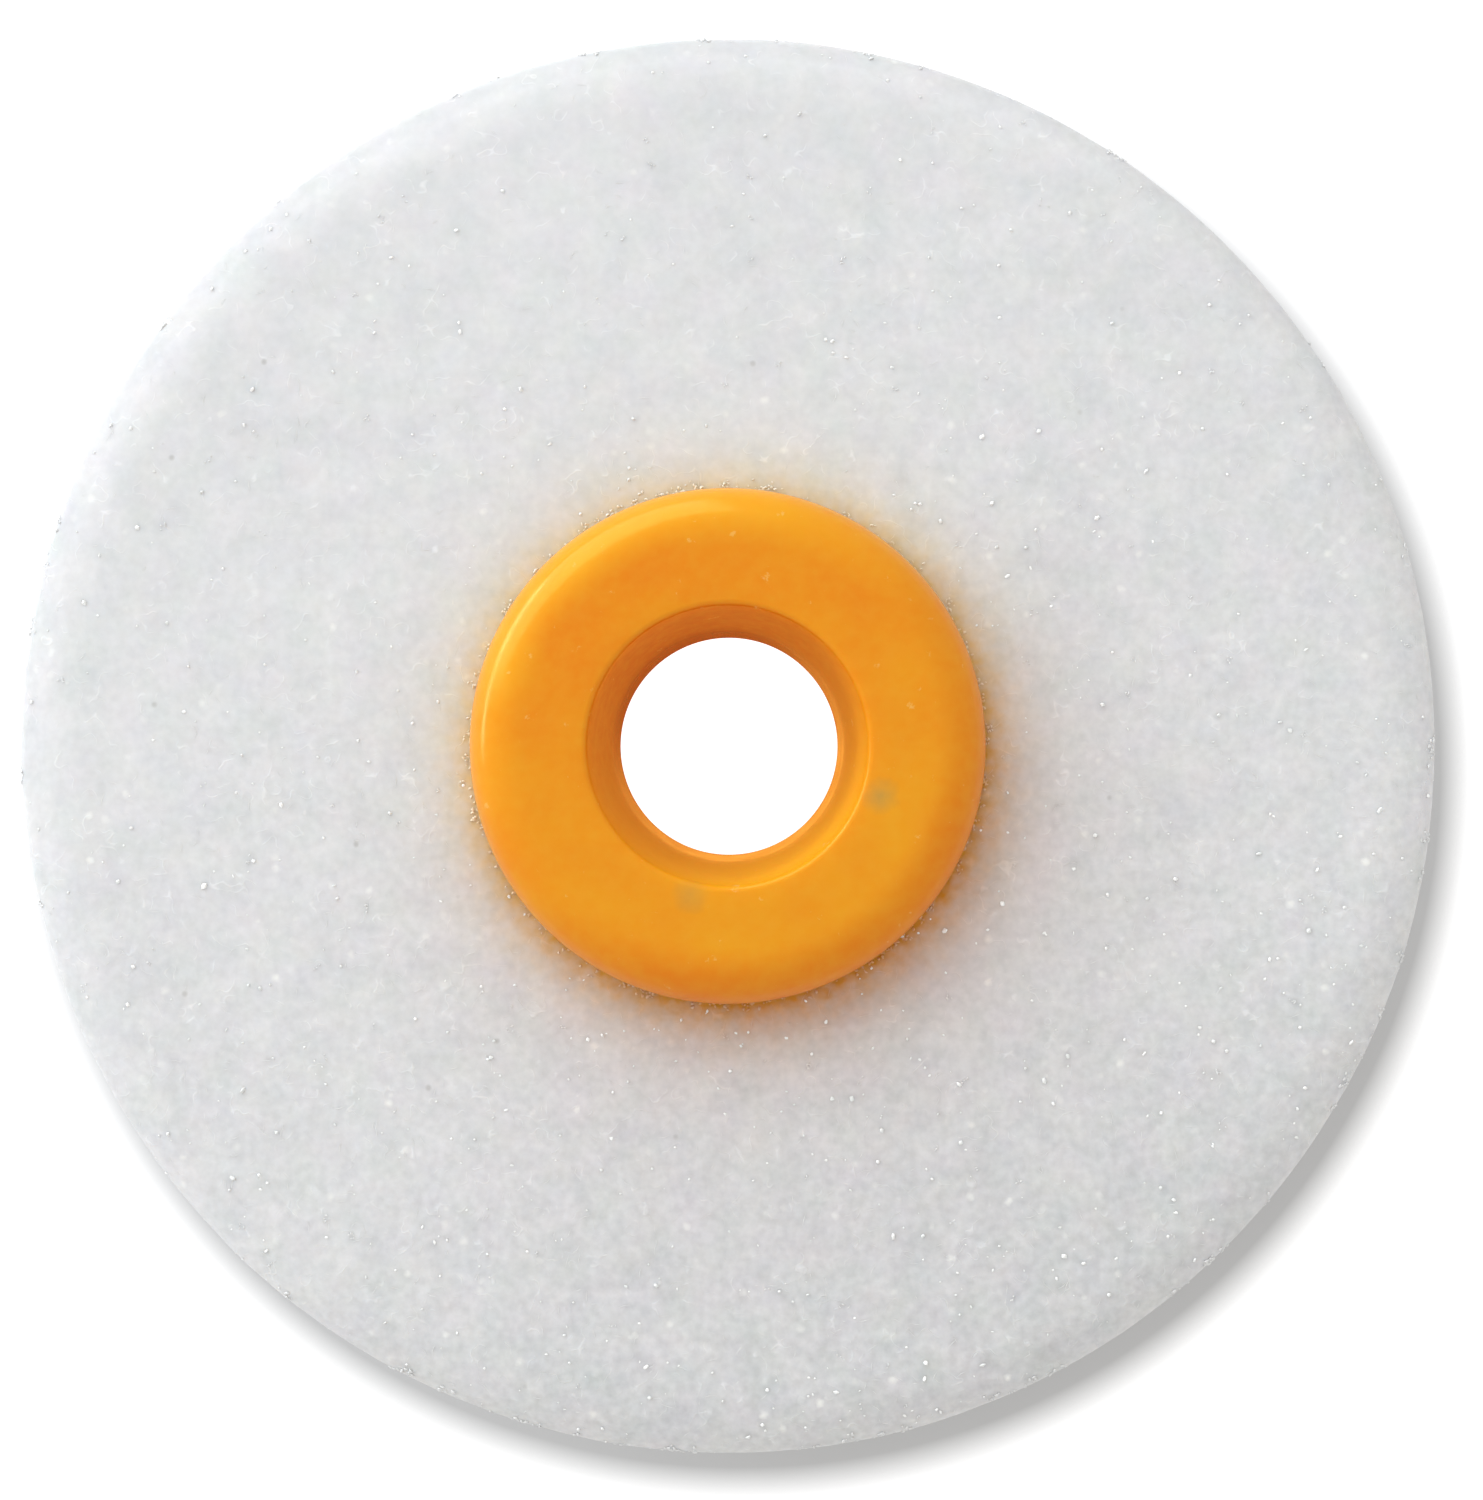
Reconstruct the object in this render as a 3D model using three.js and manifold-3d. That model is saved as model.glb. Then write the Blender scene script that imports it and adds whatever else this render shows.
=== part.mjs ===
// Felt polishing wheel: a hard-pressed felt disc on a two-part plastic hub.
//
// Units are millimetres. The wheel's axis is +Z and the origin is the middle of the wheel, so the
// front face looks towards +Z and the two faces lie at equal heights above and below the origin.
//
// The front hub half ends in a spigot, the rear hub half ends in a socket. They are pushed into the
// felt's centre hole from its two sides and meet at mid thickness, with the felt held between their
// flanges. Ribs along both sleeves bite into the felt and stop it from slipping round the hub.

import * as THREE from "three";
import { mergeVertices } from "three/addons/utils/BufferGeometryUtils.js";
import Module from "manifold-3d";

// ---- Felt disc -------------------------------------------------------------------------------

const wheelDiameter = 76.2;
const feltThickness = 12.7;
const rimEaseWidth = 3.5; // how far in from the rim each face starts to fall away
const rimEaseDepth = 1.2; // how far each face has fallen where it meets the rim

// ---- Hub -------------------------------------------------------------------------------------

const boreDiameter = 12.7; // runs on a half inch arbor
const landLength = 7.1; // straight middle of the bore, which centres the wheel on the arbor
const mouthFlare = 0.95; // how much further out each mouth of the bore is than its land
const mouthFillet = 0.3;

const flangeDiameter = 27.2;
const flangeHeight = 3.2; // stands out of the felt
const flangeRoundWidth = 2.8; // the flange's outer edge is rounded over
const flangeRoundHeight = 2.1; // below the round, the flange's side is straight

const spigotWall = 1.35;
const socketWall = 1.2;
const landBehindSocket = 0.35; // straight bore left between the socket's floor and the flare

const ribCount = 4;
const ribWidth = 1.6;
const ribHeight = 0.9; // stands out of the sleeve
const ribRoot = 0.6; // how deep each rib is rooted in the sleeve and in the flange

// ---- Clearances ------------------------------------------------------------------------------

const feltClearance = 0.1; // between the felt and whatever hub surface faces it
const spigotClearance = 0.1; // round the spigot in its socket
const jointGap = 0.2; // end to end, where the two halves meet

// ---- Fineness of the round shapes ------------------------------------------------------------

const turnSegments = 64;
const arcDivisions = 3; // an arc is drawn with twice as many straight pieces

// ---- Sizes that follow -----------------------------------------------------------------------

const rimRadius = wheelDiameter / 2;
const halfThickness = feltThickness / 2;
const boreRadius = boreDiameter / 2;
const mouthRadius = boreRadius + mouthFlare;
const spigotRadius = boreRadius + spigotWall;
const socketRadius = spigotRadius + spigotClearance;
const sleeveRadius = socketRadius + socketWall;
const flangeRadius = flangeDiameter / 2;

const flangeUnderside = halfThickness + feltClearance;
const flangeFace = halfThickness + flangeHeight;
const shoulder = jointGap / 2; // where each sleeve ends, measured from mid thickness
const spigotReach = landLength / 2 - landBehindSocket - jointGap; // past mid thickness
const socketFloor = spigotReach + jointGap;

// ---- Materials -------------------------------------------------------------------------------

const whiteFelt = new THREE.MeshStandardMaterial({ color: 0xdcdddd, roughness: 0.95, metalness: 0 });
const orangePlastic = new THREE.MeshStandardMaterial({ color: 0xf08a1e, roughness: 0.3, metalness: 0 });

// ---- Turning and cutting ---------------------------------------------------------------------

const wasm = await Module();
wasm.setup();

// Turns a closed outline, drawn as (radius, height), about the wheel's axis.
function turned(outline) {
  const geometry = new THREE.LatheGeometry(outline, turnSegments);
  return geometry.rotateX(Math.PI / 2);
}

function toSolid(geometry) {
  const bare = geometry.clone();
  bare.deleteAttribute("normal");
  bare.deleteAttribute("uv");
  const merged = mergeVertices(bare, 1e-4);
  const shape = new wasm.Mesh({
    numProp: 3,
    vertProperties: merged.attributes.position.array,
    triVerts: new Uint32Array(merged.index.array),
  });
  return new wasm.Manifold(shape);
}

function toGeometry(solid) {
  const shape = solid.getMesh();
  const geometry = new THREE.BufferGeometry();
  geometry.setAttribute("position", new THREE.BufferAttribute(shape.vertProperties, shape.numProp));
  geometry.setIndex(new THREE.BufferAttribute(shape.triVerts, 1));
  geometry.computeVertexNormals();
  return geometry;
}

// One bar for each rib, lying between two radii and two heights, spaced evenly round the axis.
function bars(innerRadius, outerRadius, width, low, high) {
  const solids = [];
  for (let i = 0; i < ribCount; i++) {
    const bar = new THREE.BoxGeometry(outerRadius - innerRadius, width, high - low);
    bar.translate((innerRadius + outerRadius) / 2, 0, (low + high) / 2);
    bar.rotateZ(((i + 0.5) / ribCount) * 2 * Math.PI);
    solids.push(toSolid(bar));
  }
  return solids;
}

// ---- Felt disc -------------------------------------------------------------------------------

// A flat ring with eased rims on both faces. Its centre hole has a slot for each of the hub's ribs.
function feltDisc() {
  const holeRadius = sleeveRadius + feltClearance;
  const easeRadius = rimRadius - rimEaseWidth;
  const easeHeight = halfThickness - rimEaseDepth;

  const outline = new THREE.Path();
  outline.moveTo(holeRadius, -halfThickness);
  outline.lineTo(easeRadius, -halfThickness);
  outline.absellipse(easeRadius, -easeHeight, rimEaseWidth, rimEaseDepth, -Math.PI / 2, 0);
  outline.lineTo(rimRadius, easeHeight);
  outline.absellipse(easeRadius, easeHeight, rimEaseWidth, rimEaseDepth, 0, Math.PI / 2);
  outline.lineTo(holeRadius, halfThickness);
  outline.closePath();

  let disc = toSolid(turned(outline.getPoints(arcDivisions)));
  const slotRadius = sleeveRadius + ribHeight + feltClearance;
  const slotWidth = ribWidth + 2 * feltClearance;
  for (const slot of bars(boreRadius, slotRadius, slotWidth, -feltThickness, feltThickness)) {
    disc = disc.subtract(slot);
  }
  return toGeometry(disc);
}

// ---- Hub halves ------------------------------------------------------------------------------

// The part of a hub half's outline that both halves share, with the flange uppermost: up the
// outside of the sleeve, round the flange, into the mouth and down its flare to the land.
function drawSleeveAndFlange(outline) {
  const roundRadius = flangeRadius - flangeRoundWidth;
  const roundStart = flangeFace - flangeRoundHeight;
  outline.lineTo(sleeveRadius, flangeUnderside);
  outline.lineTo(flangeRadius, flangeUnderside);
  outline.lineTo(flangeRadius, roundStart);
  outline.absellipse(roundRadius, roundStart, flangeRoundWidth, flangeRoundHeight, 0, Math.PI / 2);
  outline.lineTo(mouthRadius + mouthFillet, flangeFace);
  outline.absarc(mouthRadius + mouthFillet, flangeFace - mouthFillet, mouthFillet, Math.PI / 2, Math.PI);
  outline.lineTo(boreRadius, landLength / 2);
}

// The ribs of one half, from inside its flange to the end of its sleeve.
function withRibs(geometry) {
  const innerRadius = sleeveRadius - ribRoot;
  const outerRadius = sleeveRadius + ribHeight;
  let half = toSolid(geometry);
  for (const rib of bars(innerRadius, outerRadius, ribWidth, shoulder, flangeUnderside + ribRoot)) {
    half = half.add(rib);
  }
  return toGeometry(half);
}

function spigotHalf() {
  const outline = new THREE.Path();
  outline.moveTo(boreRadius, -spigotReach);
  outline.lineTo(spigotRadius, -spigotReach);
  outline.lineTo(spigotRadius, shoulder);
  outline.lineTo(sleeveRadius, shoulder);
  drawSleeveAndFlange(outline);
  outline.closePath();
  return withRibs(turned(outline.getPoints(arcDivisions)));
}

function socketHalf() {
  const outline = new THREE.Path();
  outline.moveTo(socketRadius, shoulder);
  outline.lineTo(sleeveRadius, shoulder);
  drawSleeveAndFlange(outline);
  outline.lineTo(boreRadius, socketFloor);
  outline.lineTo(socketRadius, socketFloor);
  outline.closePath();
  return withRibs(turned(outline.getPoints(arcDivisions)));
}

// ---- Assembly --------------------------------------------------------------------------------

function piece(name, geometry, material) {
  const mesh = new THREE.Mesh(geometry, material);
  mesh.name = name;
  return mesh;
}

const wheel = new THREE.Group();
wheel.add(piece("felt_disc", feltDisc(), whiteFelt));
wheel.add(piece("front_hub_half", spigotHalf(), orangePlastic));

const rearHalf = piece("rear_hub_half", socketHalf(), orangePlastic);
rearHalf.rotation.x = Math.PI; // its flange lies on the rear face of the felt
wheel.add(rearHalf);

export default wheel;
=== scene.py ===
# A hard felt polishing wheel: a thick ring of pressed white felt held between the two halves of an
# orange plastic hub. It lies on its rear flange, on a pale bench, with its axis upright.

import math
import random

import bmesh
import bpy
from mathutils import Euler, Matrix, Vector, noise
from mathutils.bvhtree import BVHTree


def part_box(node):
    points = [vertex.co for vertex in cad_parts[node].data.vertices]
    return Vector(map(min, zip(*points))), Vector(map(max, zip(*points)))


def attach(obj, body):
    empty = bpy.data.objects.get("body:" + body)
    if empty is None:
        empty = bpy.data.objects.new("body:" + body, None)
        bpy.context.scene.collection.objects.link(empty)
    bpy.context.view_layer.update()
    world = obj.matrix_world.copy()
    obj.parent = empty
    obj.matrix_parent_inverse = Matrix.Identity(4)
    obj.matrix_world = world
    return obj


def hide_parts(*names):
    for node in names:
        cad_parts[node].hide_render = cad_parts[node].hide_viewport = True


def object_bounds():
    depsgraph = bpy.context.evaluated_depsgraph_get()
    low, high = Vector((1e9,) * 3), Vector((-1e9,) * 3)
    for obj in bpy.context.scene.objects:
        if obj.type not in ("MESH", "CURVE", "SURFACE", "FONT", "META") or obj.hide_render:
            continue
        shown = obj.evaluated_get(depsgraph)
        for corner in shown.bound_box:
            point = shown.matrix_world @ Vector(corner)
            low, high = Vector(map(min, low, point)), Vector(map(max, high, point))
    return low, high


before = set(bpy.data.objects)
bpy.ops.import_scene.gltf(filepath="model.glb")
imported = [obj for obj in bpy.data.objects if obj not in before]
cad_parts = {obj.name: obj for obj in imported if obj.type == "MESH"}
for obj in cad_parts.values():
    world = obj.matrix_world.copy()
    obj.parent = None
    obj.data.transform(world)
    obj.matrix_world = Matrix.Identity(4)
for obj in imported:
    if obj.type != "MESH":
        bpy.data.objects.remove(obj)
cad_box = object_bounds()

mm = 0.001
full_turn = 2 * math.pi


# ---- Camera ----------------------------------------------------------------------------------
# A close-up camera looks straight down on the front face from arm's length, with +Y at the top of
# the picture. It stands a little to the right of the wheel's axis.

felt_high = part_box("felt_disc")[1]
rim_radius = felt_high.x
half_thickness = felt_high.z

camera_height = 100 * mm
view_height = 79.99 * mm

camera_data = bpy.data.cameras.new("camera")
camera_data.sensor_fit = "VERTICAL"
camera_data.angle = 2 * math.atan(view_height / 2 / camera_height)
camera_data.clip_start = 5 * mm
camera_data.clip_end = 10
camera = bpy.data.objects.new("camera", camera_data)
camera.location = (0.73 * mm, -0.22 * mm, half_thickness + camera_height)
bpy.context.scene.collection.objects.link(camera)
bpy.context.scene.camera = camera


# ---- Felt disc -------------------------------------------------------------------------------
# One thick ring of wool felt, pressed hard and cut to a disc. Both faces are flat and fall away
# gently over the last few millimetres before the rim. The centre hole is slotted for the hub's ribs.

sleeve_radius = 9 * mm
felt_clearance = 0.1 * mm
ease_width = 3.5 * mm
ease_depth = 1.2 * mm
rib_count = 4
rib_width = 1.6 * mm
rib_height = 0.9 * mm
ease_segments = 12
felt_steps = 360  # flat facets round the felt
felt_facet = 0.45 * mm  # the longest edge across them


def wire(corners):
    """A bmesh holding a closed outline, from its corners as (radius, height)."""
    bm = bmesh.new()
    verts = [bm.verts.new((radius, 0, height)) for radius, height in corners]
    for start, end in zip(verts, verts[1:] + verts[:1]):
        bm.edges.new((start, end))
    return bm


def round_corner(bm, radius, height, across, along, segments):
    """Rounds one corner of an outline, reaching across in radius and along in height."""
    corner = min(bm.verts, key=lambda v: (v.co - Vector((radius, 0, height))).length)
    stretch = Vector((1, 1, across / along))
    bmesh.ops.scale(bm, vec=stretch, verts=bm.verts)
    bmesh.ops.bevel(
        bm, geom=[corner], offset=across, offset_type="OFFSET", segments=segments,
        profile=0.5, affect="VERTICES", material=-1,
    )
    bmesh.ops.scale(bm, vec=Vector((1, 1, along / across)), verts=bm.verts)


def divide_long_edges(bm, longest):
    """Cuts an outline's long edges, so that no piece of them is longer than longest."""
    for edge in list(bm.edges):
        cuts = math.ceil(edge.calc_length() / longest) - 1
        if cuts > 0:
            bmesh.ops.subdivide_edges(bm, edges=[edge], cuts=cuts)


def turn(bm, steps):
    """Spins an outline once round the wheel's axis into a closed solid."""
    bmesh.ops.spin(
        bm, geom=bm.verts[:] + bm.edges[:], axis=(0, 0, 1), cent=(0, 0, 0),
        angle=full_turn, steps=steps, use_merge=True,
    )
    bmesh.ops.remove_doubles(bm, verts=bm.verts, dist=1e-7)
    bmesh.ops.recalc_face_normals(bm, faces=bm.faces)


def piece_from(bm, name, smooth_angle=math.radians(35)):
    """Makes an object of a bmesh, shaded smooth except where faces meet at more than an angle."""
    mesh = bpy.data.meshes.new(name)
    bm.to_mesh(mesh)
    bm.free()
    mesh.shade_smooth()
    mesh.set_sharp_from_angle(angle=smooth_angle)
    piece = bpy.data.objects.new(name, mesh)
    bpy.context.scene.collection.objects.link(piece)
    return piece


felt_bm = wire([
    (sleeve_radius + felt_clearance, -half_thickness),
    (rim_radius, -half_thickness),
    (rim_radius, half_thickness),
    (sleeve_radius + felt_clearance, half_thickness),
])
round_corner(felt_bm, rim_radius, -half_thickness, ease_width, ease_depth, ease_segments)
round_corner(felt_bm, rim_radius, half_thickness, ease_width, ease_depth, ease_segments)
divide_long_edges(felt_bm, felt_facet)
turn(felt_bm, felt_steps)
felt = piece_from(felt_bm, "felt")


def add_bars(bm, inner_radius, outer_radius, width, low, high):
    """Adds a straight bar for each rib, between two radii and two heights."""
    size = Matrix.Diagonal((outer_radius - inner_radius, width, high - low, 1))
    middle = Matrix.Translation(((inner_radius + outer_radius) / 2, 0, (low + high) / 2))
    for i in range(rib_count):
        round_axis = Matrix.Rotation((i + 0.5) / rib_count * full_turn, 4, "Z")
        bmesh.ops.create_cube(bm, size=1, matrix=round_axis @ middle @ size)


felt_slots_bm = bmesh.new()
add_bars(
    felt_slots_bm, sleeve_radius - 1 * mm, sleeve_radius + rib_height + felt_clearance,
    rib_width + 2 * felt_clearance, -2 * half_thickness, 2 * half_thickness,
)
felt_slots = piece_from(felt_slots_bm, "felt_slots")
slotting = felt.modifiers.new("slots", "BOOLEAN")
slotting.operation = "DIFFERENCE"
slotting.object = felt_slots
slotted = felt.evaluated_get(bpy.context.evaluated_depsgraph_get())
felt.data = bpy.data.meshes.new_from_object(slotted)
felt.modifiers.clear()
bpy.data.objects.remove(felt_slots)

# Pressing leaves the faces and the rim a little uneven. The felt under the flanges stays flat.
flange_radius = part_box("front_hub_half")[1].x
unevenness = ((14 * mm, 0.05 * mm), (3 * mm, 0.025 * mm), (1.1 * mm, 0.02 * mm))  # length, height
felt_bm = bmesh.new()
felt_bm.from_mesh(felt.data)
for vertex in felt_bm.verts:
    radius = vertex.co.xy.length
    if radius > flange_radius:
        rise = 0
        for length, height in unevenness:
            rise += height * noise.noise(vertex.co * (1 / length))
        vertex.co += vertex.normal * rise * min(1, (radius - flange_radius) / (1.5 * mm))
felt_bm.to_mesh(felt.data)
felt_bm.free()


class Nodes:
    """Builds a material or a node group: nodes by type, and links between them."""

    def __init__(self, tree):
        self.tree = tree

    def add(self, kind, settings=None, **sockets):
        """Adds a node. sockets are its inputs by name, each a value or another node's output."""
        node = self.tree.nodes.new(kind)
        for key, value in (settings or {}).items():
            setattr(node, key, value)
        for key, value in sockets.items():
            numbered = key[0] == "_" and key[1:].isdigit()
            socket = node.inputs[int(key[1:])] if numbered else node.inputs[key]
            self.feed(socket, value)
        return node

    def feed(self, socket, value):
        if isinstance(value, bpy.types.NodeSocket):
            self.tree.links.new(value, socket)
        else:
            socket.default_value = value

    def math(self, operation, first, second=0.0, third=0.0, clamp=False):
        settings = {"operation": operation, "use_clamp": clamp}
        return self.add("ShaderNodeMath", settings, _0=first, _1=second, _2=third).outputs[0]

    def vector(self, operation, first, second=(0, 0, 0)):
        """A vector operation. Its result is a number for a dot product, a length or a distance."""
        node = self.add("ShaderNodeVectorMath", {"operation": operation}, _0=first, _1=second)
        is_number = operation in ("DOT_PRODUCT", "LENGTH", "DISTANCE")
        return node.outputs["Value" if is_number else "Vector"]

    def from_axis(self, place):
        """How far a place is from the wheel's axis."""
        return self.vector("LENGTH", self.vector("MULTIPLY", place, (1, 1, 0)))

    def remap(self, value, low, high, to_low, to_high):
        """value from low..high to to_low..to_high, clamped."""
        node = self.add("ShaderNodeMapRange", {"clamp": True})
        for key, number in zip(
            ("Value", "From Min", "From Max", "To Min", "To Max"), (value, low, high, to_low, to_high)
        ):
            self.feed(node.inputs[key], number)
        return node.outputs["Result"]

    def mix(self, factor, first, second, blend="MIX"):
        node = self.add("ShaderNodeMix", {"data_type": "RGBA", "blend_type": blend})
        self.feed(node.inputs["Factor"], factor)
        colours = [s for s in node.inputs if s.type == "RGBA"]
        self.feed(colours[0], first)
        self.feed(colours[1], second)
        return [s for s in node.outputs if s.type == "RGBA"][0]

    def noise(self, where, size, detail=2.0, roughness=0.5):
        """A noise whose features are about size across. Its outputs are Fac and Color."""
        node = self.add("ShaderNodeTexNoise", {"noise_dimensions": "3D"})
        self.feed(node.inputs["Vector"], where)
        node.inputs["Scale"].default_value = 1 / size
        node.inputs["Detail"].default_value = detail
        node.inputs["Roughness"].default_value = roughness
        return node.outputs


def new_material(name):
    material = bpy.data.materials.new(name)
    material.use_nodes = True
    material.node_tree.nodes.clear()
    nodes = Nodes(material.node_tree)
    shader = nodes.add("ShaderNodeBsdfPrincipled")
    output = nodes.add("ShaderNodeOutputMaterial")
    nodes.feed(output.inputs["Surface"], shader.outputs["BSDF"])
    return material, nodes, shader


# Painted light and shadow next to the flanges: orange bounce light from the plastic, painted into the
# wool's colour and stronger on the side away from the window, and on that side a wider grey band of
# painted shadow as well.
painted_bounce_and_shadow = bpy.data.node_groups.new("painted_bounce_and_shadow", "ShaderNodeTree")
painted_bounce_and_shadow.interface.new_socket("Color", in_out="INPUT", socket_type="NodeSocketColor")
painted_bounce_and_shadow.interface.new_socket("Amount", in_out="INPUT", socket_type="NodeSocketFloat")
painted_bounce_and_shadow.interface.new_socket("Color", in_out="OUTPUT", socket_type="NodeSocketColor")
nodes = Nodes(painted_bounce_and_shadow)
plain_inputs = nodes.add("NodeGroupInput").outputs
place = nodes.add("ShaderNodeTexCoord").outputs["Object"]
from_axis = nodes.from_axis(place)
towards = nodes.vector("DOT_PRODUCT", place, (0.42, -0.9, 0))
towards = nodes.math("DIVIDE", towards, from_axis)
past_flange = nodes.math("SUBTRACT", from_axis, flange_radius)
fade = nodes.math("EXPONENT", nodes.math("DIVIDE", past_flange, -1.35 * mm))
fade = nodes.math("MULTIPLY", fade, nodes.remap(towards, -1, 1, 0.4, 1.25))
bounce_patchiness = nodes.remap(nodes.noise(place, 0.7 * mm, detail=2)["Fac"], 0.3, 0.7, 0.7, 1.15)
painted_bounce = nodes.math("MULTIPLY", fade, bounce_patchiness)
painted_bounce = nodes.math("MULTIPLY", painted_bounce, plain_inputs["Amount"], clamp=True)
bounce_colour = nodes.mix(nodes.remap(towards, -1, 1, 0, 1), (1.0, 0.72, 0.04, 1), (1.0, 0.50, 0.05, 1))
with_painted_light = nodes.mix(painted_bounce, plain_inputs["Color"], bounce_colour, "MULTIPLY")
# Painted shadow: a wider grey band beside the flange, on the side away from the window.
painted_shadow = nodes.math("EXPONENT", nodes.math("DIVIDE", past_flange, -5.2 * mm))
painted_shadow = nodes.math("MULTIPLY", painted_shadow, nodes.remap(towards, -0.3, 0.9, 0, 1), clamp=True)
with_painted_light = nodes.mix(painted_shadow, with_painted_light, (0.83, 0.72, 0.70, 1), "MULTIPLY")
nodes.feed(nodes.add("NodeGroupOutput").inputs["Color"], with_painted_light)

felt_material, nodes, shader = new_material("white_felt")
place = nodes.add("ShaderNodeTexCoord").outputs["Object"]

# The wool is not quite even in tone: broad cloudy patches, small ones, and single fibres. Wear has left
# it rougher towards one side, and painted shade makes it greyer towards the rim on that side, which
# faces away from the window.
worn_and_shaded_side = (0.35, -0.94, 0)
across = nodes.vector("DOT_PRODUCT", place, worn_and_shaded_side)
wear = nodes.remap(across, -rim_radius, rim_radius, 0.5, 1.6)
broad = nodes.noise(place, 12 * mm)["Fac"]
patches = nodes.noise(place, 2.2 * mm, detail=3)["Fac"]
grain = nodes.noise(place, 0.5 * mm, detail=2)["Fac"]
tone = nodes.math("ADD", nodes.remap(broad, 0.3, 0.7, -0.01, 0.01), 0.70)
tone = nodes.math("ADD", nodes.remap(patches, 0.2, 0.8, -0.03, 0.03), tone)
grain = nodes.math("MULTIPLY", nodes.remap(grain, 0.2, 0.8, -0.045, 0.045), wear)
tone = nodes.math("ADD", grain, tone)
curls = nodes.noise(place, 1.3 * mm, detail=1)["Fac"]
strand = nodes.remap(nodes.math("ABSOLUTE", nodes.math("SUBTRACT", curls, 0.5)), 0.0, 0.018, 1, 0)
broken = nodes.remap(nodes.noise(place, 1.0 * mm, detail=1)["Fac"], 0.52, 0.64, 0, 0.08)
tone = nodes.math("ADD", nodes.math("MULTIPLY", strand, broken), tone)
from_axis = nodes.from_axis(place)
# Painted shade: darker towards the rim on the side away from the window.
tone = nodes.math("SUBTRACT", tone, nodes.remap(across, 18 * mm, 37 * mm, 0, 0.07))
# Painted shade darkens the rim's outer edge on the side towards the window, and painted light lightens
# it a little on the far side.
on_rim = nodes.remap(from_axis, rim_radius - 1.4 * mm, rim_radius - 0.2 * mm, 0, 1)
painted_rim_shading = nodes.math("MULTIPLY", on_rim, nodes.remap(across, -rim_radius, rim_radius, -0.13, 0.04))
tone = nodes.math("ADD", tone, painted_rim_shading)
grey = nodes.add("ShaderNodeCombineColor", None, Red=tone, Green=tone, Blue=tone).outputs[0]
tints = nodes.noise(place, 2.2 * mm, detail=2)["Color"]
felt_colour = nodes.mix(0.1, grey, tints, "SOFT_LIGHT")

# Soft pale crumbs, thicker on the worn side and in places.
crumb_cells = nodes.add("ShaderNodeTexVoronoi", None, Vector=place, Scale=1 / (1.0 * mm)).outputs
crumb_pick = nodes.add("ShaderNodeSeparateColor", None, Color=crumb_cells["Color"]).outputs[0]
crumb_edge = nodes.math("MULTIPLY", nodes.noise(place, 0.35 * mm, detail=2)["Fac"], 0.35)
crumb = nodes.remap(nodes.math("ADD", crumb_cells["Distance"], crumb_edge), 0.24, 0.46, 1, 0)
crumb = nodes.math("MULTIPLY", crumb, nodes.remap(crumb_pick, 0.6, 0.95, 0, 0.5))
crumb = nodes.math("MULTIPLY", crumb, nodes.remap(patches, 0.4, 0.6, 0.3, 1.2))
crumb = nodes.math("MULTIPLY", crumb, wear)
felt_colour = nodes.mix(crumb, felt_colour, (0.92, 0.92, 0.88, 1))

# A few dark specks of grit.
speck_cells = nodes.add("ShaderNodeTexVoronoi", None, Vector=place, Scale=1 / (2.6 * mm)).outputs
speck_pick = nodes.add("ShaderNodeSeparateColor", None, Color=speck_cells["Color"]).outputs[1]
speck_spot = nodes.remap(speck_cells["Distance"], 0.03, 0.08, 1, 0)
speck = nodes.math("MULTIPLY", speck_spot, nodes.remap(speck_pick, 0.8, 0.85, 0, 0.35))
felt_colour = nodes.mix(speck, felt_colour, (0.33, 0.32, 0.28, 1))

# Over all this go the painted orange bounce light and the grey painted shadow next to the flanges.
with_painted_light = nodes.add("ShaderNodeGroup", {"node_tree": painted_bounce_and_shadow}, Color=felt_colour, Amount=1.0)
nodes.feed(shader.inputs["Base Color"], with_painted_light.outputs["Color"])

fuzz = nodes.noise(place, 0.3 * mm, detail=2)["Fac"]
lumps = nodes.noise(place, 0.8 * mm, detail=2)["Fac"]
relief = nodes.math("ADD", nodes.math("MULTIPLY", fuzz, 0.35), lumps)
strand_height = nodes.math("MULTIPLY", nodes.math("MULTIPLY", strand, broken), 8)
relief = nodes.math("ADD", relief, strand_height)
relief = nodes.math("MULTIPLY", relief, wear)
bump = nodes.add("ShaderNodeBump", None, Height=relief)
bump.inputs["Strength"].default_value = 0.5
bump.inputs["Distance"].default_value = 0.055 * mm
nodes.feed(shader.inputs["Normal"], bump.outputs["Normal"])
shader.inputs["Roughness"].default_value = 0.9
shader.inputs["Specular IOR Level"].default_value = 0.25
shader.inputs["Sheen Weight"].default_value = 0.1
shader.inputs["Sheen Roughness"].default_value = 0.6
shader.inputs["Subsurface Weight"].default_value = 1.0
shader.inputs["Subsurface Radius"].default_value = (1.0, 0.92, 0.85)
shader.inputs["Subsurface Scale"].default_value = 0.7 * mm

felt.data.materials.append(felt_material)
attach(felt, "root")
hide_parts("felt_disc")


# ---- Loose wool fibres -----------------------------------------------------------------------
# Ends and loops of wool that pressing has left lying on the felt, curled and half buried. Short
# thick tufts lie here and there, along the flanges' edges, where they squeeze the felt, and on the rim.

dice = random.Random(11)
felt_bm = bmesh.new()
felt_bm.from_mesh(felt.data)
felt_surface = BVHTree.FromBMesh(felt_bm)
open_faces = [f for f in felt_bm.faces if f.calc_center_median().xy.length > flange_radius]
wear_slope = Vector(worn_and_shaded_side) / rim_radius
open_areas = [f.calc_area() * (1 + 0.5 * f.calc_center_median().dot(wear_slope)) for f in open_faces]


def spots_on_felt(count):
    """Random points on the felt outside the flanges, more on its worn side, with their normals."""
    # The order of the mesh's faces varies between runs, and with it where the same draws land.
    spots = []
    for face in dice.choices(open_faces, weights=open_areas, k=count):
        corner, other = dice.sample(list(face.verts), 2)
        point = face.calc_center_median().lerp(corner.co.lerp(other.co, dice.random()), dice.random())
        spots.append((point, face.normal.copy()))
    return spots


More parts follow.
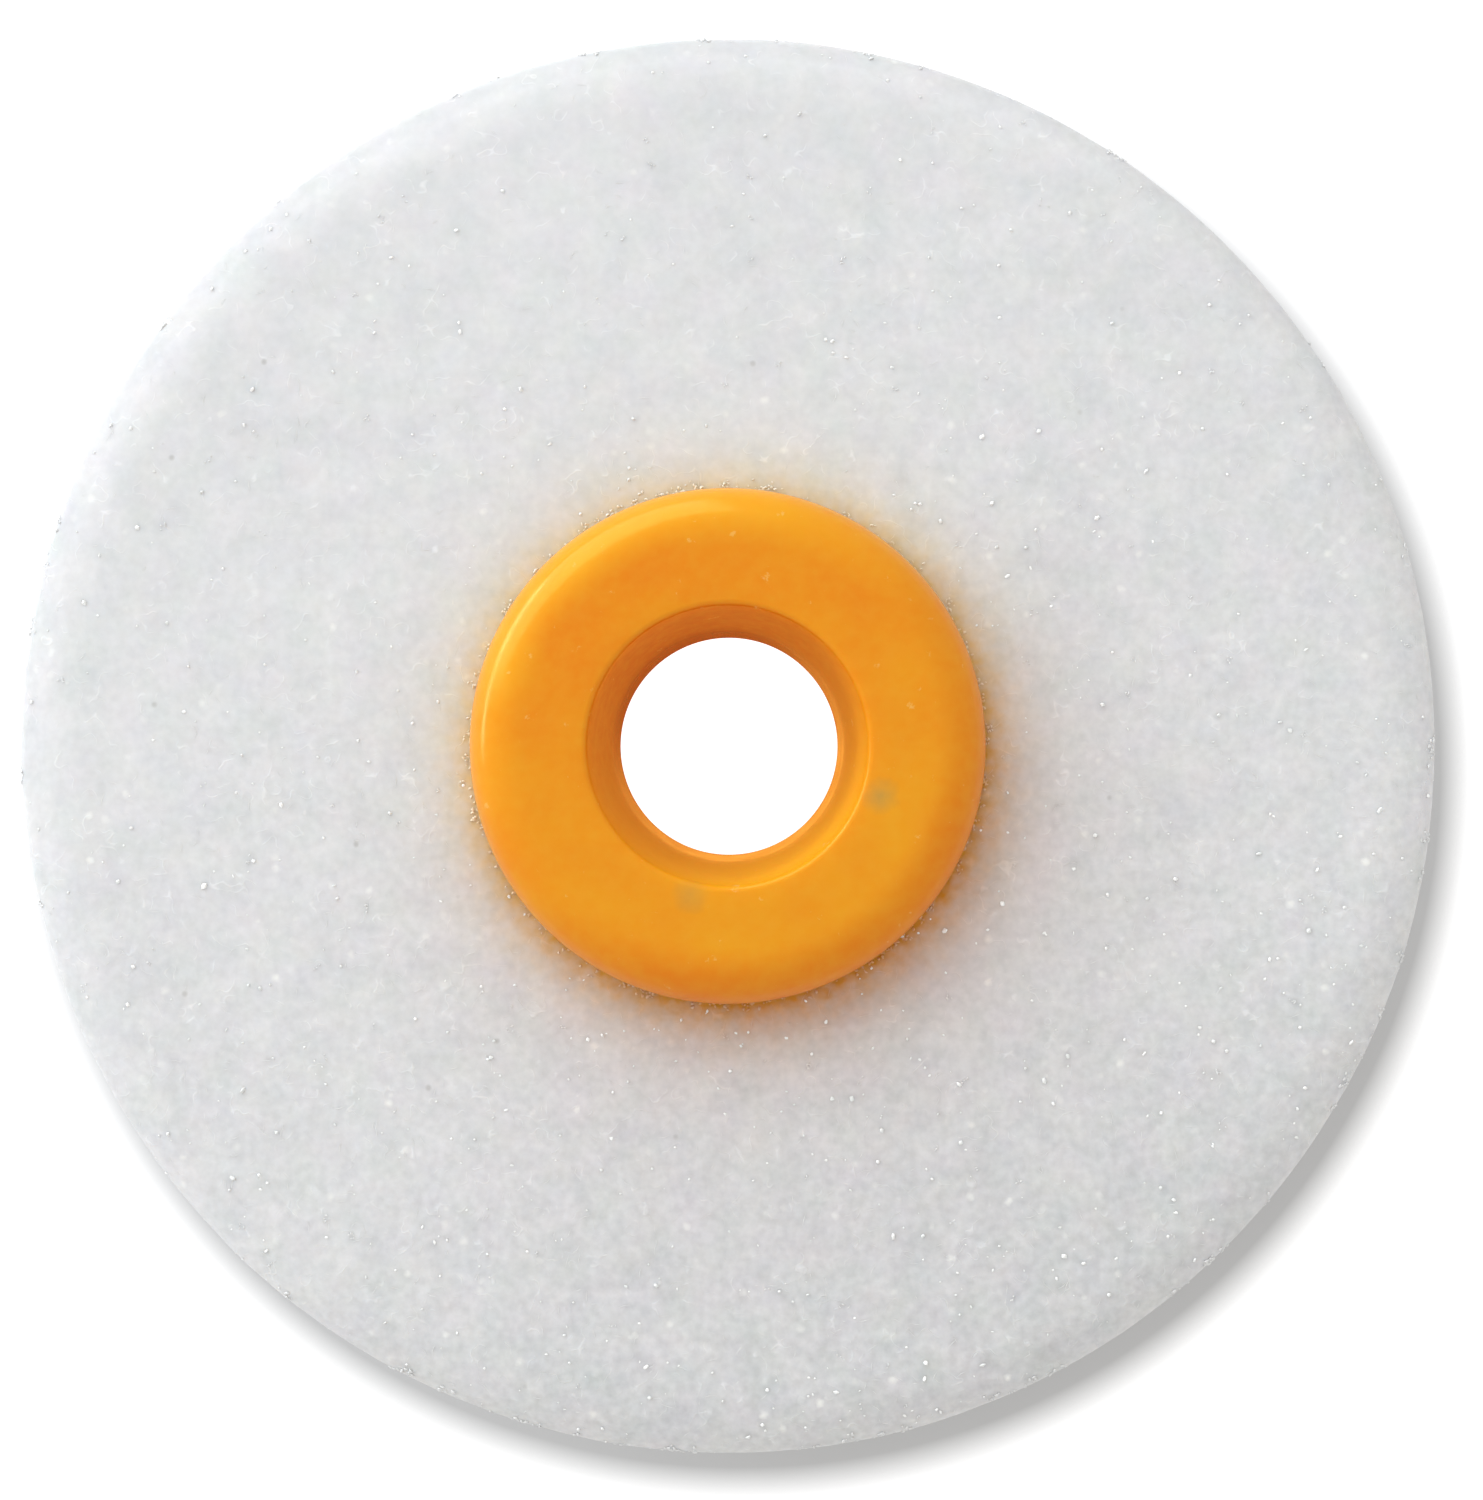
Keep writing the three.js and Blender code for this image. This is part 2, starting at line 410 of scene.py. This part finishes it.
def lay_fibre(curve, start, normal, heading, length, thickness, curl, lift):
    """Adds one fibre that follows the felt's surface and rises by lift at its far end."""
    points = 5
    strand = curve.splines.new("POLY")
    strand.points.add(points - 1)
    place = start
    direction = normal.orthogonal().normalized()
    direction.rotate(Matrix.Rotation(heading, 3, normal))
    for i in range(points):
        along = i / (points - 1)
        raised = place + normal * (lift * along - thickness * (0.95 - 0.4 * math.sin(math.pi * along)))
        strand.points[i].co = (*raised, 1)
        strand.points[i].radius = 1 - 0.55 * abs(2 * along - 1)
        direction.rotate(Matrix.Rotation(curl / points, 3, normal))
        nearest, normal, _, _ = felt_surface.find_nearest(place + direction * length / points)
        place = nearest
        direction = (direction - normal * direction.dot(normal)).normalized()


def fibres_from(name, curve):
    """Turns a curve object's strands into a mesh piece."""
    curve.dimensions = "3D"
    curve.bevel_resolution = 0
    curve.use_fill_caps = True
    strands = bpy.data.objects.new(name + "_strands", curve)
    bpy.context.scene.collection.objects.link(strands)
    evaluated = strands.evaluated_get(bpy.context.evaluated_depsgraph_get())
    bm = bmesh.new()
    bm.from_mesh(evaluated.to_mesh())
    bpy.data.objects.remove(strands)
    bmesh.ops.remove_doubles(bm, verts=bm.verts, dist=1e-8)
    bmesh.ops.recalc_face_normals(bm, faces=bm.faces)
    return piece_from(bm, name, math.radians(80))


fibre_curve = bpy.data.curves.new("loose_fibres", "CURVE")
fibre_thickness = 0.035 * mm
fibre_curve.bevel_depth = fibre_thickness
for spot, normal in spots_on_felt(2600):
    lay_fibre(
        fibre_curve, spot, normal, heading=dice.uniform(0, full_turn),
        length=dice.uniform(0.5, 1.9) * mm, thickness=fibre_thickness,
        curl=dice.uniform(-2.6, 2.6), lift=0,
    )
loose_fibres = fibres_from("loose_fibres", fibre_curve)

tuft_curve = bpy.data.curves.new("tufts", "CURVE")
tuft_thickness = 0.1 * mm
tuft_curve.bevel_depth = tuft_thickness


def lay_tuft(spot, strands, spread, longest, highest):
    """Adds a tuft: a few short thick strands, on the felt nearest to points within spread of a spot."""
    for i in range(strands):
        aside = Vector([dice.uniform(-spread, spread) for _ in range(3)])
        nearest, normal, _, _ = felt_surface.find_nearest(spot + aside)
        lay_fibre(
            tuft_curve, nearest, normal, heading=dice.uniform(0, full_turn),
            length=dice.uniform(0.12 * mm, longest), thickness=tuft_thickness,
            curl=dice.uniform(-2, 2), lift=dice.uniform(0, highest),
        )


def spot_round_axis(radius, height, evenness):
    """A random point at a radius and a height, more often on the worn side, less so with evenness."""
    while True:
        bearing = dice.uniform(0, full_turn)
        spot = Vector((radius * math.cos(bearing), radius * math.sin(bearing), height))
        if dice.random() < evenness + (1 - evenness) * max(0, spot.dot(wear_slope)):
            return spot


for i in range(420):
    past_flange = abs(dice.gauss(0, 0.2)) * mm
    spot = spot_round_axis(flange_radius + past_flange, dice.choice((-1, 1)) * half_thickness, 0.6)
    lay_tuft(spot, strands=3, spread=0.25 * mm, longest=0.35 * mm, highest=0.1 * mm)
for i in range(450):
    height = dice.choice((-1, 1)) * dice.uniform(0.35, 0.97) * half_thickness
    spot = spot_round_axis(rim_radius, height, 0.25)
    lay_tuft(spot, strands=dice.randint(3, 8), spread=0.4 * mm, longest=0.5 * mm, highest=0.14 * mm)
for spot, normal in spots_on_felt(300):
    lay_tuft(spot, strands=dice.randint(2, 5), spread=0.16 * mm, longest=0.3 * mm, highest=0.02 * mm)
tufts = fibres_from("tufts", tuft_curve)

fibre_material, nodes, shader = new_material("wool_fibre")
place = nodes.add("ShaderNodeTexCoord").outputs["Object"]
fibre_tone = nodes.noise(place, 0.7 * mm, detail=1)["Fac"]
fibre_colour = nodes.mix(fibre_tone, (0.70, 0.71, 0.71, 1), (0.88, 0.88, 0.86, 1))
# The fibres take the same painted bounce light and shadow, less strongly.
with_painted_light = nodes.add("ShaderNodeGroup", {"node_tree": painted_bounce_and_shadow}, Color=fibre_colour, Amount=0.75)
nodes.feed(shader.inputs["Base Color"], with_painted_light.outputs["Color"])
shader.inputs["Roughness"].default_value = 0.6

for fibres in (loose_fibres, tufts):
    fibres.data.materials.append(fibre_material)
    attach(fibres, "root")


# ---- Grit ------------------------------------------------------------------------------------
# Pale mineral grit, caught in the felt's surface on all sides. Each grain is a small rough crystal.

grit_bm = bmesh.new()
for spot, normal in spots_on_felt(2400):
    size = dice.choices((0.08, 0.12, 0.17), weights=(6, 3, 1))[0] * dice.uniform(0.8, 1.3) * mm
    squash = Matrix.Diagonal((dice.uniform(0.6, 1.7), dice.uniform(0.6, 1.2), dice.uniform(0.5, 1), 1))
    turned = Euler([dice.uniform(0, full_turn) for _ in range(3)]).to_matrix().to_4x4()
    where = Matrix.Translation(spot - normal * size * 0.45)
    bmesh.ops.create_icosphere(grit_bm, subdivisions=1, radius=size, matrix=where @ turned @ squash)
grit = piece_from(grit_bm, "grit", math.radians(20))

grit_material, nodes, shader = new_material("pale_grit")
place = nodes.add("ShaderNodeTexCoord").outputs["Object"]
grit_tone = nodes.remap(nodes.noise(place, 3 * mm, detail=1)["Fac"], 0.4, 0.6, 0, 1)
grit_colour = nodes.mix(grit_tone, (0.80, 0.82, 0.80, 1), (0.97, 0.97, 0.95, 1))
nodes.feed(shader.inputs["Base Color"], grit_colour)
shader.inputs["Roughness"].default_value = 0.35
grit.data.materials.append(grit_material)
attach(grit, "root")
felt_bm.free()


# ---- Hub halves ------------------------------------------------------------------------------
# Two moulded plastic flanges with sleeves, pushed together through the felt: the front half's
# spigot goes into the rear half's socket. Each mouth flares and each flange's edge is rounded over.

front_low, front_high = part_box("front_hub_half")
rear_low, rear_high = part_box("rear_hub_half")
flange_face = front_high.z
flange_underside = half_thickness + felt_clearance
round_width = 2.8 * mm
round_height = 2.1 * mm
bore_radius = 6.35 * mm
mouth_radius = 7.3 * mm
mouth_fillet = 0.3 * mm
land_half_length = 3.55 * mm
spigot_radius = 7.7 * mm
socket_radius = 7.8 * mm
shoulder = 0.1 * mm
rib_root = 0.6 * mm
turning_steps = 192


def hub_half(inner_corners):
    """A hub half with its flange uppermost. inner_corners are the outline's corners inside the felt."""
    bm = wire([
        *inner_corners,
        (sleeve_radius, shoulder),
        (sleeve_radius, flange_underside),
        (flange_radius, flange_underside),
        (flange_radius, flange_face),
        (mouth_radius, flange_face),
        (bore_radius, land_half_length),
    ])
    round_corner(bm, flange_radius, flange_face, round_width, round_height, 14)
    round_corner(bm, mouth_radius, flange_face, mouth_fillet, mouth_fillet, 5)
    divide_long_edges(bm, 1.2 * mm)
    turn(bm, turning_steps)
    add_bars(
        bm, sleeve_radius - rib_root, sleeve_radius + rib_height, rib_width,
        shoulder, flange_underside + rib_root,
    )
    return bm


front_bm = hub_half([
    (bore_radius, front_low.z),
    (spigot_radius, front_low.z),
    (spigot_radius, shoulder),
])
front_hub = piece_from(front_bm, "front_hub")

socket_floor = 2 * shoulder - front_low.z
rear_bm = hub_half([
    (bore_radius, socket_floor),
    (socket_radius, socket_floor),
    (socket_radius, shoulder),
])
bmesh.ops.rotate(rear_bm, cent=(0, 0, 0), matrix=Matrix.Rotation(math.pi, 3, "X"), verts=rear_bm.verts)
rear_hub = piece_from(rear_bm, "rear_hub")

hub_material, nodes, shader = new_material("orange_plastic")
place = nodes.add("ShaderNodeTexCoord").outputs["Object"]
# The plastic's tone varies at random. Painted light and shade make the flange's round yellower on the
# side towards the window and redder on the far side, and the flat face a little yellower on the far
# side.
flow = nodes.noise(place, 5 * mm, detail=3)["Fac"]
across = nodes.vector("DOT_PRODUCT", place, (0.42, -0.91, 0))
across = nodes.remap(across, -flange_radius, flange_radius, -0.35, 0.35)
from_axis = nodes.from_axis(place)
turned_over = nodes.remap(from_axis, flange_radius - 3.2 * mm, flange_radius - 1.4 * mm, 1, -1.5)
yellowness = nodes.math("ADD", flow, nodes.math("MULTIPLY", across, turned_over), clamp=True)
hub_colour = nodes.mix(yellowness, (0.76, 0.20, 0.007, 1), (0.79, 0.335, 0.011, 1))
# Painted shade makes the bore's wall deep red on the side nearest the window, which the window cannot
# reach, and painted light makes it yellow on the far side, which faces the window; the flange's round
# is painted the other way about.
in_bore = nodes.remap(from_axis, mouth_radius - 0.1 * mm, mouth_radius + 0.1 * mm, 1, 0)
wall_side = nodes.remap(across, -0.2, 0.2, 0, 1)
wall_colour = nodes.mix(wall_side, (0.60, 0.075, 0.004, 1), (0.86, 0.43, 0.012, 1))
hub_colour = nodes.mix(in_bore, hub_colour, wall_colour)
speckle = nodes.remap(nodes.noise(place, 0.8 * mm, detail=3, roughness=0.6)["Fac"], 0.35, 0.65, 0, 0.2)
hub_colour = nodes.mix(speckle, hub_colour, (0.80, 0.38, 0.03, 1))

# Handling has left small pale scuffs on it, and grey grime in one or two places by the bore.
scuffs = nodes.remap(nodes.noise(place, 0.9 * mm, detail=4, roughness=0.7)["Fac"], 0.66, 0.72, 0, 0.5)
hub_colour = nodes.mix(scuffs, hub_colour, (0.85, 0.50, 0.14, 1))
smudge_edge = nodes.math("MULTIPLY", nodes.noise(place, 0.8 * mm, detail=3)["Fac"], 0.9 * mm)
for smudge_at, smudge_strength in (((7.9 * mm, -2.6 * mm), 0.5), ((-1.9 * mm, -7.7 * mm), 0.35)):
    middle = (*smudge_at, flange_face)
    reach = nodes.math("ADD", nodes.vector("DISTANCE", place, middle), smudge_edge)
    smudge = nodes.remap(reach, 0.4 * mm, 1.5 * mm, smudge_strength, 0)
    hub_colour = nodes.mix(smudge, hub_colour, (0.33, 0.27, 0.09, 1))
nodes.feed(shader.inputs["Base Color"], hub_colour)

smears = nodes.noise(place, 2.4 * mm, detail=4, roughness=0.6)["Fac"]
nodes.feed(shader.inputs["Roughness"], nodes.remap(smears, 0.3, 0.75, 0.13, 0.27))
ripple = nodes.noise(place, 3 * mm, detail=2)["Fac"]
ripple = nodes.math("ADD", ripple, nodes.math("MULTIPLY", scuffs, 0.4))
bump = nodes.add("ShaderNodeBump", None, Height=ripple)
bump.inputs["Strength"].default_value = 0.4
bump.inputs["Distance"].default_value = 0.05 * mm
nodes.feed(shader.inputs["Normal"], bump.outputs["Normal"])
shader.inputs["Specular IOR Level"].default_value = 0.5
shader.inputs["Specular Tint"].default_value = (1.0, 0.9, 0.25, 1)
shader.inputs["Subsurface Weight"].default_value = 0.3
shader.inputs["Subsurface Radius"].default_value = (1.0, 0.4, 0.06)
shader.inputs["Subsurface Scale"].default_value = 1.2 * mm

for hub, node in ((front_hub, "front_hub_half"), (rear_hub, "rear_hub_half")):
    hub.data.materials.append(hub_material)
    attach(hub, "root")
    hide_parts(node)


# ---- Bench -----------------------------------------------------------------------------------
# A plain pale bench top under the rear flange.

bench_bm = bmesh.new()
bmesh.ops.create_grid(bench_bm, x_segments=1, y_segments=1, size=1.5)
bench_height = cad_box[0].z
bmesh.ops.translate(bench_bm, vec=(0, 0, bench_height), verts=bench_bm.verts)
bench = piece_from(bench_bm, "bench")
bench_material, nodes, shader = new_material("pale_bench")
place = nodes.add("ShaderNodeTexCoord").outputs["Object"]
under_bore = (0, 0, bench_height)
from_bore = nodes.vector("DISTANCE", place, under_bore)
glow_in_bore = nodes.remap(from_bore, 9 * mm, 13 * mm, 1.2, 0)
in_bore = nodes.remap(from_bore, 9 * mm, 13 * mm, 1, 0)
# Painted bounce light: under the bore the bench is coloured the orange-red that the bore's walls would
# throw on it.
bench_colour = nodes.mix(in_bore, (0.62, 0.62, 0.62, 1), (0.5, 0.11, 0.06, 1))
nodes.feed(shader.inputs["Base Color"], bench_colour)
shader.inputs["Roughness"].default_value = 0.8
# Painted light and shadow: for the camera alone, the bench glows white beyond a ring round the wheel,
# set off centre towards the side away from the window, so that the grey inside it reads as the wheel's
# cast shadow, and it glows white under the bore too. To all other rays it glows only under the bore, a
# painted orange light, stronger under one side, that lights the bore's walls.
shadow_middle = (0.7 * mm, -1.35 * mm, bench_height)
from_shadow = nodes.vector("DISTANCE", place, shadow_middle)
glow_outside = nodes.remap(from_shadow, rim_radius + 5.1 * mm, rim_radius + 7.7 * mm, 0, 0.75)
seen = nodes.add("ShaderNodeLightPath").outputs["Is Camera Ray"]
glow_seen = nodes.math("ADD", glow_outside, glow_in_bore)
across = nodes.vector("DOT_PRODUCT", place, (0.5, -0.87, 0))
glow_thrown = nodes.remap(across, -4 * mm, 5 * mm, 0.2, 1.1)
glow_thrown = nodes.math("MULTIPLY", glow_in_bore, glow_thrown)
glow = nodes.add("ShaderNodeMix", {"data_type": "FLOAT"}, _0=seen, _2=glow_thrown, _3=glow_seen)
nodes.feed(shader.inputs["Emission Color"], nodes.mix(seen, (1.0, 0.50, 0.07, 1), (1, 1, 1, 1)))
nodes.feed(shader.inputs["Emission Strength"], glow.outputs[0])
bench.data.materials.append(bench_material)


# ---- Light -----------------------------------------------------------------------------------
# A large window behind and to the left of the wheel, a brighter low pane in it, and an even surround.


def soft_light(name, azimuth, elevation, distance, width, height, power, colour=(1, 1, 1)):
    """A rectangular soft light that faces the wheel, placed by its bearing from the wheel."""
    light_data = bpy.data.lights.new(name, "AREA")
    light_data.shape = "RECTANGLE"
    light_data.size = width
    light_data.size_y = height
    light_data.energy = power
    light_data.color = colour
    light = bpy.data.objects.new(name, light_data)
    bearing = Vector((
        math.cos(math.radians(azimuth)) * math.cos(math.radians(elevation)),
        math.sin(math.radians(azimuth)) * math.cos(math.radians(elevation)),
        math.sin(math.radians(elevation)),
    ))
    light.location = bearing * distance
    light.rotation_euler = bearing.to_track_quat("Z", "Y").to_euler()
    bpy.context.scene.collection.objects.link(light)


daylight = (0.94, 1.0, 1.07)
soft_light("window", 127, 25, distance=0.4, width=0.5, height=0.27, power=1.14, colour=daylight)
soft_light("low_pane", 160, 13, distance=0.4, width=0.30, height=0.035, power=0.37, colour=daylight)

world = bpy.data.worlds.new("surround")
world.use_nodes = True
world.node_tree.nodes["Background"].inputs["Color"].default_value = (1.01, 1.0, 0.985, 1)
world.node_tree.nodes["Background"].inputs["Strength"].default_value = 0.83
bpy.context.scene.world = world
bpy.context.scene.view_settings.view_transform = "Standard"
